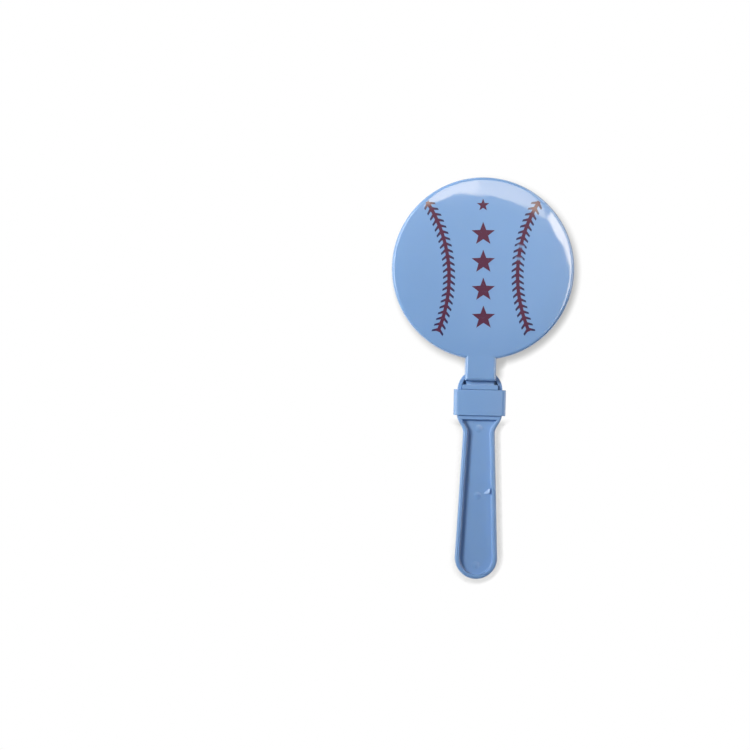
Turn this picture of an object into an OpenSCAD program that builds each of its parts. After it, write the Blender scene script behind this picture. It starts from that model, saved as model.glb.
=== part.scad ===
// Hand clapper with three round paddles, lying on its back with its front face up.
// X is the width, Y runs from the grip end to the top of the paddles and Z is up.
// The origin is under the middle of the part, on the surface that it lies on.

/* [Overall] */
// Length from the end of the grip to the top of the paddles
overall_len = 280; // [274:1:300]
// Gap between the centre paddle and a closed outer paddle
paddle_gap = 0.3; // [0.3:0.05:0.6]

/* [Outer paddles] */
// Diameter of the three round paddles
paddle_d = 127; // [122:1:130]
// Depth of an outer paddle's dish at its middle
dish_depth = 8.6; // [8:0.1:10]
// Wall of an outer paddle
dish_wall = 1.4; // [1.2:0.1:1.8]
// Rounding where the dish's face meets its rim
dish_fillet = 2.3; // [2.1:0.1:3]
// Diameter of the flat middle of the dish's face
face_flat_d = 86; // [80:1:100]
// How far the face falls from its flat middle to its edge
crown_drop = 0.8; // [0.4:0.1:1.2]
// Width of the neck below the dish
neck_w = 21.6; // [20.6:0.1:22]
// Rounding along the neck's edges
neck_fillet = 2.2; // [1:0.1:2.2]
// Distance from the middle of the dish to the end of its neck
neck_reach = 78.1; // [77:0.1:79]

/* [Film hinges] */
// Length of the thin strip that bends
film_len = 2.9; // [2.4:0.1:3.2]
// Thickness of the strip
film_t = 0.5; // [0.4:0.05:0.6]
// Width of the strip
film_w = 19.6; // [16:0.1:20]
// Gap between the foot's block and the rim of the head's shoulders
foot_gap = 0.3; // [0.2:0.1:0.6]
// Width of the foot's tongue under the collar
tongue_w = 26; // [25.6:0.1:26.2]

/* [Centre paddle] */
// Thickness of the centre paddle and the handle
centre_t = 9.4; // [9:0.1:10]
// Thickness of the web between the front and rear recesses
web_t = 1.8; // [1.6:0.1:3]
// Width of the rim round the disc and the neck
panel_rim = 1.8; // [1.4:0.1:2.2]

/* [Head and handle] */
// Width of the head that the collar sits on
head_w = 31.2; // [30.6:0.1:31.2]
// Radius of the head's shoulders
shoulder_r = 13.9; // [13.5:0.1:14.2]
// Width of the rim round the head's pockets at the shoulders
shoulder_rim = 2.6; // [2.4:0.1:2.8]
// Width of the handle's waist below the collar
waist_w = 22; // [20:0.5:24]
// Length of the curve from the head in to the waist
flare_len = 12; // [10:0.5:14]
// Width of the grip at its round end
grip_w = 29.6; // [28:0.1:30]
// Width of the rim round the handle's tray
tray_rim = 2.9; // [2:0.1:3]
// Width of the bar between the collar and the tray
tray_bar = 2.9; // [2:0.1:4]

/* [Collar] */
// Distance from the middle of the disc to the collar's upper edge
collar_reach = 84.4; // [83.5:0.1:86]
// Width of the collar
collar_w = 36.2; // [34.8:0.1:37]
// Thickness of the collar from front to rear
collar_t = 13.7; // [13.5:0.1:15]
// Length of the collar along the handle
collar_len = 18; // [17:0.5:20]
// Width of the flat on the collar's front and rear
collar_front_flat = 29; // [28.5:0.1:30]
// Width of the flat on the collar's two sides
collar_side_flat = 9.4; // [9:0.1:10]

/* [Print] */
// Radius of each seam's curve
seam_r = 97; // [90:1:110]
// Distance from the middle line to the nearest point of a seam
seam_inset = 23.8; // [22:0.1:26]
// How far that nearest point is below the middle of the disc
seam_low = 5.6; // [3:0.1:8]
// Height of the seams' upper ends above the middle of the disc
seam_rise = 46.5; // [40:0.5:47]
// Distance of the seams' lower ends below the middle of the disc
seam_fall = 45; // [40:0.5:46]
// Spacing of the stitches along a seam
stitch_pitch = 4.35; // [4:0.05:5]
// Reach of a stitch to each side of its seam
stitch_arm = 4.2; // [3.5:0.1:4.6]
// Width of a stitch's stroke
stitch_w = 1.8; // [1.2:0.1:2]
// Width of the line along the seam
spine_w = 2.4; // [1.2:0.1:2.6]
// Diameter of the four large stars
star_d = 17; // [12:0.5:18]
// Diameter of the small star above them
small_star_d = 9; // [6:0.5:10]
// Turn of the print on the face, in degrees
print_turn = 1.5; // [-2:0.1:2]

/* [Hidden] */
$fn = 128;

plastic = "#86A9D6";
ink = "#7A2A3C";

// Clearance between pieces that fit into each other
fit = 0.15;
// Overlap that keeps a cut from leaving a skin, and a join whole
over = 1;
// Thickness of the ink
print_t = 0.1;
// Height of a hinge film's middle above the open edge of its dish
film_rise = 0.55;
// Width of the bar between the head's pocket and the collar's lower edge
pocket_bar = 2.5;

disc_r = paddle_d / 2;
disc_y = overall_len / 2 - disc_r;
end_y = -overall_len / 2;
mid_z = dish_depth + paddle_gap + centre_t / 2;

neck_end_y = disc_y - neck_reach;
foot_top_y = neck_end_y - film_len;
collar_top_y = disc_y - collar_reach;
collar_low_y = collar_top_y - collar_len;
pocket_low_y = collar_low_y + pocket_bar;
tray_top_y = collar_low_y - tray_bar;
grip_r = grip_w / 2;
grip_y = end_y + grip_r;

// Heights from the middle plane of the centre paddle
open_z = centre_t / 2 + paddle_gap;
face_z = open_z + dish_depth;
film_z = open_z + film_rise;

// The face is flat in its middle and then falls in an arc, which leans most at the fillet
face_flat_r = face_flat_d / 2;
fillet_r = disc_r - dish_fillet;
crown_r = pow(fillet_r - face_flat_r, 2) / (2 * crown_drop);
crown_lean = atan((fillet_r - face_flat_r) / crown_r);
face_edge_r = fillet_r + dish_fillet * sin(crown_lean);

// The collar clicks over a small ridge on each side of the head
ridge_r = 0.6;
ridge_sink = 0.2;
ridge_len = centre_t - 2;

flare_steps = 12;
crown_steps = 4;
fillet_steps = 6;

// Angle between a stitch and the line square to its seam
stitch_slope = 33;
stitch_thick = stitch_w / cos(stitch_slope);
seam_top_turn = asin((seam_rise + seam_low) / seam_r);
seam_low_turn = -asin((seam_fall - seam_low) / seam_r);
seam_len = seam_r * (seam_top_turn - seam_low_turn) * PI / 180;
stitch_count = floor(seam_len / stitch_pitch) + 1;

// Places of the stars along the disc's middle line, and the share of a star's reach that its notches keep
star_pitch = 19.4;
star_low = -34.3;
small_star_y = 44;
star_notch = 0.42;

// Half width of the handle's curve at a share t of the way from the head to the waist
function flare_half(t) = head_w / 2 - (head_w - waist_w) / 4 * (1 - cos(180 * t));

// One edge of the handle, from the head down to the widest part of the grip
function handle_edge(inset) = concat(
    [for (i = [0 : flare_steps])
        [flare_half(i / flare_steps) - inset, collar_low_y - flare_len * i / flare_steps]],
    [[grip_r - inset, grip_y]]
);

// Mirrored points of one edge, from the last to the first
function other_edge(points) = [for (i = [len(points) - 1 : -1 : 0]) [-points[i][0], points[i][1]]];

// Height of the dish's face at a radius, below its flat middle
function crown_z(r) = r <= face_flat_r ? 0 : -pow(r - face_flat_r, 2) / (2 * crown_r);

// The face of the dish from its flat middle to its edge, moved inwards by the inset
function face_points(inset, last_r) = [
    for (i = [0 : crown_steps])
        let (r = face_flat_r + (last_r - face_flat_r) * i / crown_steps)
        [r, crown_z(r) - inset]
];

// The dish's section from the face over the fillet to the rim, moved inwards by the inset
function dish_points(inset) =
    let (
        fillet = dish_fillet - inset,
        start_r = fillet_r + fillet * sin(crown_lean),
        fillet_z = crown_z(start_r) - inset - fillet * cos(crown_lean)
    )
    concat(
        face_points(inset, start_r),
        [for (i = [1 : fillet_steps])
            let (turn = (90 - crown_lean) * (1 - i / fillet_steps))
            [fillet_r + fillet * cos(turn), fillet_z + fillet * sin(turn)]]
    );

// Point beside the right-hand seam, at a distance along it from its upper end
function seam_point(side, along) =
    let (turn = seam_top_turn - along / seam_r * 180 / PI, r = seam_r + side)
    [seam_inset + seam_r - r * cos(turn), r * sin(turn) - seam_low];

// One edge of the seam with its stitches, which are arrow heads that point up the seam
function stitch_row(dir) = concat(
    [seam_point(dir * spine_w / 2, 0)],
    [for (i = [0 : stitch_count - 1])
        let (apex = i * stitch_pitch)
        for (corner = [[spine_w / 2, 0], [stitch_arm, 0], [stitch_arm, 1], [spine_w / 2, 1]])
            let (along = apex + corner[0] * tan(stitch_slope) + corner[1] * stitch_thick)
            seam_point(dir * corner[0], along)]
);

module handle_outline(inset) {
    edge = handle_edge(inset);
    polygon(concat(edge, other_edge(edge)));
    translate([0, grip_y])
        circle(grip_r - inset);
}

module shoulder_outline(inset) {
    for (side = [-1, 1])
        translate([side * (head_w / 2 - shoulder_r), collar_top_y])
            circle(shoulder_r - inset);
}

module head_outline() {
    shoulder_outline(0);
    translate([-head_w / 2, collar_low_y])
        square([head_w, collar_len]);
}

module panel_outline(inset) {
    translate([0, disc_y])
        circle(disc_r - inset);
    translate([inset - neck_w / 2, collar_top_y])
        square([neck_w - 2 * inset, disc_y - collar_top_y]);
}

// Recess on each face, which makes room for the foot in the head
module panel_recess() {
    pocket_w = tongue_w + 2 * fit;
    panel_outline(panel_rim);
    difference() {
        shoulder_outline(shoulder_rim);
        translate([-head_w / 2, collar_top_y - head_w])
            square([head_w, head_w]);
    }
    translate([-pocket_w / 2, pocket_low_y])
        square([pocket_w, collar_top_y - pocket_low_y]);
}

module tray_recess() {
    intersection() {
        handle_outline(tray_rim);
        translate([-head_w / 2, end_y])
            square([head_w, tray_top_y - end_y]);
    }
}

// Ridges on both sides of the head, or the grooves that they click into
module side_ridges(room) {
    for (side = [-1, 1])
        translate([side * (head_w / 2 - ridge_sink), (collar_top_y + collar_low_y) / 2, 0])
            cylinder(r = ridge_r + room, h = ridge_len + 2 * room, center = true);
}

module centre_paddle() {
    color(plastic)
    translate([0, 0, mid_z]) {
        difference() {
            linear_extrude(centre_t, center = true) {
                panel_outline(0);
                head_outline();
                handle_outline(0);
            }
            for (face = [0, 1])
                mirror([0, 0, face])
                    translate([0, 0, web_t / 2])
                        linear_extrude(centre_t) {
                            panel_recess();
                            tray_recess();
                        }
        }
        side_ridges(0);
    }
}

// Rectangle with its four corners cut off
module collar_outline() {
    side_x = collar_w / 2;
    side_z = collar_side_flat / 2;
    front_x = collar_front_flat / 2;
    front_z = collar_t / 2;
    polygon([
        [side_x, side_z],
        [front_x, front_z],
        [-front_x, front_z],
        [-side_x, side_z],
        [-side_x, -side_z],
        [-front_x, -front_z],
        [front_x, -front_z],
        [side_x, -side_z]
    ]);
}

module collar() {
    color(plastic)
    translate([0, 0, mid_z])
        difference() {
            translate([0, collar_top_y, 0])
                rotate([90, 0, 0])
                    linear_extrude(collar_len)
                        difference() {
                            collar_outline();
                            square([head_w + 2 * fit, centre_t + 2 * fit], center = true);
                        }
            side_ridges(fit);
        }
}

// Solid of revolution under the dish's section, open side down
module dish_turned(inset, low_z) {
    points = dish_points(inset);
    rotate_extrude()
        polygon(concat([[0, low_z], [0, -inset]], points, [[disc_r - inset, low_z]]));
}

// Neck with rounded upper edges and a rounded end
module neck_block(top_z) {
    height = top_z - open_z;
    length = disc_y - neck_end_y;
    intersection() {
        translate([0, disc_y, open_z])
            rotate([90, 0, 0])
                linear_extrude(length)
                    round_top(neck_w, height, neck_fillet);
        translate([0, 0, open_z])
            rotate([90, 0, 90])
                linear_extrude(neck_w, center = true)
                    translate([disc_y, 0])
                        round_top(2 * length, height, neck_fillet);
    }
}

// Upright section, a given width and height, with its two upper corners rounded
module round_top(width, height, r) {
    translate([-width / 2, 0])
        square([width, height - r]);
    translate([r - width / 2, 0])
        square([width - 2 * r, height]);
    for (side = [-1, 1])
        translate([side * (width / 2 - r), height - r])
            circle(r);
}

module outer_paddle() {
    neck_z = face_z + crown_z(fillet_r);
    hollow_w = neck_w - 2 * dish_wall;
    difference() {
        union() {
            translate([0, disc_y, face_z])
                dish_turned(0, -dish_depth);
            neck_block(neck_z);
        }
        translate([0, disc_y, face_z])
            dish_turned(dish_wall, -dish_depth - over);
        translate([-hollow_w / 2, neck_end_y + dish_wall, open_z - over])
            cube([hollow_w, neck_reach - dish_wall, neck_z - dish_wall - open_z + over]);
    }
}

// Strip that bends, between the end of the neck and the foot
module hinge_film() {
    translate([-film_w / 2, foot_top_y, film_z - film_t / 2])
        cube([film_w, film_len, film_t]);
}

// Outline of the block that stands on the collar, between the head's shoulders
module block_outline() {
    block_low_y = collar_top_y + fit;
    intersection() {
        shoulder_outline(shoulder_rim + foot_gap);
        translate([-head_w / 2, block_low_y])
            square([head_w, foot_top_y - block_low_y]);
    }
}

// Block that stands on the collar, a tongue that the collar locks in the head, and a stem that joins them
module hinge_foot() {
    floor_z = web_t / 2 + fit;
    tongue_top_y = collar_top_y - fit;
    tongue_low_y = pocket_low_y + fit;
    tongue_t = centre_t / 2 - floor_z;
    translate([0, 0, floor_z]) {
        linear_extrude(collar_t / 2 - floor_z)
            block_outline();
        translate([-film_w / 2, tongue_low_y, 0])
            cube([film_w, collar_top_y + over - tongue_low_y, tongue_t]);
        translate([-tongue_w / 2, tongue_low_y, 0])
            cube([tongue_w, tongue_top_y - tongue_low_y, tongue_t]);
    }
}

// Places a piece that is made for the front, or its mirror image for the rear
module on_side(front) {
    translate([0, 0, mid_z])
        mirror([0, 0, front ? 0 : 1])
            children();
}

module front_paddle() {
    color(plastic) on_side(true) outer_paddle();
}

module rear_paddle() {
    color(plastic) on_side(false) outer_paddle();
}

module front_hinge_film() {
    color(plastic) on_side(true) hinge_film();
}

module rear_hinge_film() {
    color(plastic) on_side(false) hinge_film();
}

module front_foot() {
    color(plastic) on_side(true) hinge_foot();
}

module rear_foot() {
    color(plastic) on_side(false) hinge_foot();
}

// Thin layer on the crowned face, cut to the flat pattern that is given
module printed() {
    face = face_points(0, face_edge_r);
    top = [for (i = [len(face) - 1 : -1 : 0]) face[i] + [0, print_t]];
    translate([0, disc_y, mid_z + face_z])
        intersection() {
            rotate_extrude()
                polygon(concat([[0, 0]], face, top, [[0, print_t]]));
            rotate([0, 0, print_turn])
                translate([0, 0, -crown_drop - over])
                    linear_extrude(crown_drop + 2 * over)
                        children();
        }
}

// Right-hand seam: a curved line with a row of stitches across it, in one outline
module seam() {
    inner = stitch_row(1);
    outer = stitch_row(-1);
    polygon(concat(inner, [for (i = [len(outer) - 1 : -1 : 0]) outer[i]]));
}

module seam_print() {
    color(ink)
    printed()
        for (side = [0, 1])
            mirror([side, 0])
                seam();
}

module star(d) {
    polygon([
        for (i = [0 : 9])
            let (r = d / 2 * (i % 2 == 0 ? 1 : star_notch))
            [r * sin(36 * i), r * cos(36 * i)]
    ]);
}

module star_print() {
    color(ink)
    printed() {
        for (i = [0 : 3])
            translate([0, star_low + i * star_pitch])
                star(star_d);
        translate([0, small_star_y])
            star(small_star_d);
    }
}

centre_paddle();
collar();
front_foot();
rear_foot();
front_paddle();
front_hinge_film();
rear_paddle();
rear_hinge_film();
seam_print();
star_print();
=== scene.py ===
"""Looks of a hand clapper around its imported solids: paddles, film hinges, collar and printed face."""

import logging
import math
from collections.abc import Callable, Iterator, Sequence
from contextlib import contextmanager
from dataclasses import dataclass, replace
from enum import Enum, IntEnum
from typing import Any

import bpy
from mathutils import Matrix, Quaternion, Vector


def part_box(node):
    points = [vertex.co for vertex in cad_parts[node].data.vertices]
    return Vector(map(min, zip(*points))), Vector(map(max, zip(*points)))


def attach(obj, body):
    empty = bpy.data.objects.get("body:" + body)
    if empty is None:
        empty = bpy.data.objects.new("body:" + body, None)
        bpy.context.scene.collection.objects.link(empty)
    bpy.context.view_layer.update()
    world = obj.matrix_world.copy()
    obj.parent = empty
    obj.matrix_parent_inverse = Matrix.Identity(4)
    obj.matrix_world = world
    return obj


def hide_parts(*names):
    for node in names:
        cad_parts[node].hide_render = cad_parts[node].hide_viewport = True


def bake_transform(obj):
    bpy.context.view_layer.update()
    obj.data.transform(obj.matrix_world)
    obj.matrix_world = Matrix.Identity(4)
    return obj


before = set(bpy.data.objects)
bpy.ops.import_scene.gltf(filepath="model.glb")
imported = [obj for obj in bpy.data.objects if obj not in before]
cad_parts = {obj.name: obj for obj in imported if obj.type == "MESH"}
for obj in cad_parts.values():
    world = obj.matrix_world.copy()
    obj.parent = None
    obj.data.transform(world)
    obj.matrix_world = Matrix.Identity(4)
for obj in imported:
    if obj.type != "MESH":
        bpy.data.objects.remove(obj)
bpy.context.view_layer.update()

LOG = logging.getLogger("hand_clapper")

# Blender works in metres; sizes that are written in millimetres are multiplied by this.
MM = 0.001
# Points nearer to each other than this count as being at one place.
NEAR = 0.01 * MM
# How far a block reaches past what it joins or cuts.
PAST = 1.0 * MM
# Points nearer than this are made one after solids were joined, in millimetres.
JOINED_MM = 0.03
# Faces round a disc.
ROUND_STEPS = 192

Piece = bpy.types.Object
Tree = bpy.types.NodeTree
Node = bpy.types.Node
Material = bpy.types.Material
Point = tuple[float, float]
Corner = tuple[float, float, float]
Test = Callable[[Sequence[Vector]], bool]


class Axis(IntEnum):
    """Axes, as places in a vector."""

    X = 0
    Y = 1
    Z = 2


class Kind(Enum):
    """Kind of mesh element that is picked, as the three switches of the selection mode."""

    VERTICES = (True, False, False)
    EDGES = (False, True, False)


class Operation(Enum):
    """What a second solid does to a piece."""

    JOIN = "UNION"
    CUT = "DIFFERENCE"


class Slot(Enum):
    """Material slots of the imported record."""

    PLASTIC = "blue_plastic"
    INK = "red_ink"


class Body(Enum):
    """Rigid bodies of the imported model."""

    HANDLE = "handle"
    FRONT = "front"
    REAR = "rear"


class InkMark(Enum):
    """Attributes of a print that its ink reads."""

    REACH = "stitch_reach"
    WORN = "worn_ink"


# Selecting and shaping


def deselect() -> None:
    """Leave edit mode and select nothing, so that an operator acts only on what is picked next."""
    if bpy.context.object and bpy.context.object.mode != "OBJECT":
        bpy.ops.object.mode_set(mode="OBJECT")
    bpy.ops.object.select_all(action="DESELECT")


def activate(piece: Piece, *others: Piece) -> None:
    """Select only the given pieces, and make the first the active one.

    Args:
        piece: The piece that operators work on.
        *others: Pieces that are selected beside it.
    """
    deselect()
    for selected in (piece, *others):
        selected.select_set(True)
    bpy.context.view_layer.objects.active = piece


@contextmanager
def editing(piece: Piece, whole: bool = False) -> Iterator[None]:
    """Hold a piece in edit mode.

    Args:
        piece: The piece.
        whole: Whether all of it is selected at first, or nothing.
    """
    activate(piece)
    bpy.ops.object.mode_set(mode="EDIT")
    bpy.ops.mesh.select_all(action="SELECT" if whole else "DESELECT")
    yield
    bpy.ops.object.mode_set(mode="OBJECT")


def pick(piece: Piece, test: Test, kind: Kind = Kind.EDGES) -> int:
    """Select the elements of a piece in edit mode whose corners pass a test.

    Args:
        piece: The piece that is being edited.
        test: Takes the corners' places and says whether the element is picked.
        kind: Edges or vertices.

    Returns:
        How many elements were picked.
    """
    bpy.ops.mesh.select_all(action="DESELECT")
    bpy.ops.object.mode_set(mode="OBJECT")
    bpy.context.tool_settings.mesh_select_mode = kind.value
    mesh = piece.data
    if kind is Kind.VERTICES:
        elements = [(v, [v.co]) for v in mesh.vertices]
    else:
        elements = [(e, [mesh.vertices[i].co for i in e.vertices]) for e in mesh.edges]
    picked = [element for element, corners in elements if test(corners)]
    for element in picked:
        element.select = True
    bpy.ops.object.mode_set(mode="EDIT")
    return len(picked)


def lie_at(ends: Sequence[Vector], axis: Axis, place: float) -> bool:
    """Whether both ends of an edge are at a given place along an axis."""
    return all(abs(end[axis] - place) < NEAR for end in ends)


def runs_along(ends: Sequence[Vector], axis: Axis) -> bool:
    """Whether an edge goes from one place to another along an axis."""
    return abs(ends[0][axis] - ends[1][axis]) > NEAR


def settle(name: str, scale: Corner | None = None) -> Piece:
    """Name the primitive that was just added, and put its place and size into its mesh.

    Args:
        name: Name of the piece.
        scale: What it is stretched by along each axis.

    Returns:
        The piece, at the origin.
    """
    piece = bpy.context.object
    piece.name = name
    if scale:
        piece.scale = scale
    activate(piece)
    bpy.ops.object.transform_apply(location=True, rotation=True, scale=True)
    return piece


def face_outwards(piece: Piece, merge_mm: float = 0.002) -> None:
    """Merge doubles and turn the faces of a piece outwards.

    Args:
        piece: The piece.
        merge_mm: Points nearer to each other than this are made one.
    """
    with editing(piece, whole=True):
        bpy.ops.mesh.remove_doubles(threshold=merge_mm * MM)
        bpy.ops.mesh.normals_make_consistent(inside=False)


def flatten(piece: Piece, angle: float = 0.2) -> None:
    """Make one face of neighbours that lean less than an angle, after solids were joined."""
    with editing(piece, whole=True):
        bpy.ops.mesh.dissolve_limited(angle_limit=math.radians(angle))


def draw_out(step: Corner) -> None:
    """Extrude the picked edges by a step."""
    bpy.ops.mesh.extrude_edges_move(TRANSFORM_OT_translate={"value": step})


def block(name: str, low: Sequence[float], high: Sequence[float]) -> Piece:
    """Add a box between two corners, as the start of a piece.

    Args:
        name: Name of the piece.
        low: Lowest corner.
        high: Highest corner.

    Returns:
        The box.
    """
    deselect()
    middle = [(a + b) / 2 for a, b in zip(low, high)]
    size = [b - a for a, b in zip(low, high)]
    bpy.ops.mesh.primitive_cube_add(size=1, location=middle, scale=size)
    return settle(name)


def drum(name: str, centre: Point, radius: float, low_z: float, high_z: float) -> Piece:
    """Add an upright drum, as the start of a piece.

    Args:
        name: Name of the piece.
        centre: Its axis in X and Y.
        radius: Its radius.
        low_z: Height of its lower face.
        high_z: Height of its upper face.

    Returns:
        The drum.
    """
    deselect()
    place = (*centre, (low_z + high_z) / 2)
    depth = high_z - low_z
    bpy.ops.mesh.primitive_cylinder_add(vertices=ROUND_STEPS, radius=radius, depth=depth, location=place)
    return settle(name)


def turned(name: str, centre: Point, profile: Sequence[Point], sides: int = ROUND_STEPS) -> Piece:
    """Turn a section round an upright axis: a disc whose edge is drawn out ring by ring and then closed.

    Args:
        name: Name of the piece.
        centre: The axis in X and Y.
        profile: Radius and height of each ring, from the first face to the last.
        sides: Faces round the axis.

    Returns:
        A closed solid.
    """
    deselect()
    first_r, first_z = profile[0]
    bpy.ops.mesh.primitive_circle_add(
        vertices=sides, radius=first_r, fill_type="NGON", location=(*centre, first_z)
    )
    piece = settle(name)
    with editing(piece):
        pick(piece, lambda ends: True)
        for (last_r, last_z), (r, z) in zip(profile, profile[1:]):
            draw_out((0, 0, z - last_z))
            share = r / last_r
            bpy.ops.transform.resize(value=(share, share, 1), center_override=(*centre, z))
        bpy.ops.mesh.edge_face_add()
    face_outwards(piece)
    return piece


def strip(name: str, stations: Sequence[Point], low_z: float, high_z: float) -> Piece:
    """Draw a flat strip out along Y, station by station, and give it a thickness.

    Args:
        name: Name of the piece.
        stations: Half width and Y of each station, from the first end to the last.
        low_z: Height of its lower face.
        high_z: Height of its upper face.

    Returns:
        A closed solid.
    """
    deselect()
    (half, first_y), (second_half, second_y) = stations[:2]
    bpy.ops.mesh.primitive_plane_add(size=1, location=(0, (first_y + second_y) / 2, low_z))
    piece = settle(name, (2 * half, abs(second_y - first_y), 1))
    with editing(piece):
        pick(piece, lambda ends: lie_at(ends, Axis.Y, second_y))
        bpy.ops.transform.resize(value=(second_half / half, 1, 1), center_override=(0, second_y, low_z))
        for (last_half, last_y), (next_half, next_y) in zip(stations[1:], stations[2:]):
            draw_out((0, next_y - last_y, 0))
            share = next_half / last_half
            bpy.ops.transform.resize(value=(share, 1, 1), center_override=(0, next_y, low_z))
        bpy.ops.mesh.select_all(action="SELECT")
        bpy.ops.mesh.extrude_region_move(TRANSFORM_OT_translate={"value": (0, 0, high_z - low_z)})
    face_outwards(piece)
    return piece


def round_edges(piece: Piece, test: Test, radius: float, steps: int) -> None:
    """Round the edges of a piece that pass a test.

    Args:
        piece: The piece.
        test: Takes an edge's two ends and says whether it is rounded.
        radius: Radius of the rounding.
        steps: Faces across the rounding.
    """
    with editing(piece):
        if pick(piece, test):
            bpy.ops.mesh.bevel(offset=radius, segments=steps, affect="EDGES", clamp_overlap=False)


def apply(piece: Piece, kind: str, **settings: Any) -> None:
    """Add a modifier with its settings and apply it at once.

    Args:
        piece: The piece.
        kind: Blender's name for the modifier.
        **settings: The modifier's settings.
    """
    activate(piece)
    modifier = piece.modifiers.new(kind.title(), kind)
    for name, value in settings.items():
        setattr(modifier, name, value)
    bpy.ops.object.modifier_apply(modifier=modifier.name)


def combine(piece: Piece, operation: Operation, *tools: Piece) -> None:
    """Join solids to a piece or cut them away, one after another, and drop them.

    Args:
        piece: The piece that stays.
        operation: Whether the solids are joined or cut away.
        *tools: The solids that are used up.
    """
    for tool in tools:
        apply(piece, "BOOLEAN", object=tool, operation=operation.value, solver="EXACT")
        bpy.data.objects.remove(tool)


def smooth(piece: Piece, angle: float = 38.0) -> None:
    """Shade a piece smooth up to an angle, with flat faces kept flat.

    Args:
        piece: The piece.
        angle: Edges sharper than this many degrees stay sharp.
    """
    activate(piece)
    bpy.ops.object.shade_smooth_by_angle(angle=math.radians(angle))
    apply(piece, "WEIGHTED_NORMAL", keep_sharp=True, weight=80)


def soften(piece: Piece, radius: float, angle: float = 42.0) -> None:
    """Take every edge that is sharper than an angle off a moulding by a small radius."""
    limit = {"limit_method": "ANGLE", "angle_limit": math.radians(angle), "use_clamp_overlap": False}
    apply(piece, "BEVEL", width=radius, segments=3, **limit)


# Finishes


def linear(hex_code: str) -> tuple[float, float, float, float]:
    """Turn an sRGB hex colour into the linear colour that shaders take.

    Args:
        hex_code: Colour such as #86A9D6.

    Returns:
        Red, green, blue and alpha.
    """
    shares = [int(hex_code[i : i + 2], 16) / 255 for i in (1, 3, 5)]
    red, green, blue = (s / 12.92 if s <= 0.04045 else ((s + 0.055) / 1.055) ** 2.4 for s in shares)
    return red, green, blue, 1.0


def add_node(tree: Tree, kind: str, inputs: dict[str | int, Any] | None = None, **settings: Any) -> Node:
    """Add a node with its settings, and set or link its inputs.

    Args:
        tree: The node tree.
        kind: Blender's name for the node, after ShaderNode.
        inputs: For each input's name or number, a value, an output, or a node whose first output is meant.
        **settings: The node's own settings.

    Returns:
        The node.
    """
    node = tree.nodes.new(f"ShaderNode{kind}")
    for name, value in settings.items():
        setattr(node, name, value)
    for name, value in (inputs or {}).items():
        if isinstance(value, Node):
            value = next(output for output in value.outputs if output.enabled)
        if isinstance(value, bpy.types.NodeSocket):
            tree.links.new(value, node.inputs[name])
        else:
            node.inputs[name].default_value = value
    return node


def empty_tree(owner: Material | bpy.types.World) -> Tree:
    """Clear the nodes of a material or of the world.

    Args:
        owner: What the nodes belong to.

    Returns:
        Its node tree.
    """
    owner.use_nodes = True
    owner.node_tree.nodes.clear()
    return owner.node_tree


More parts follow.
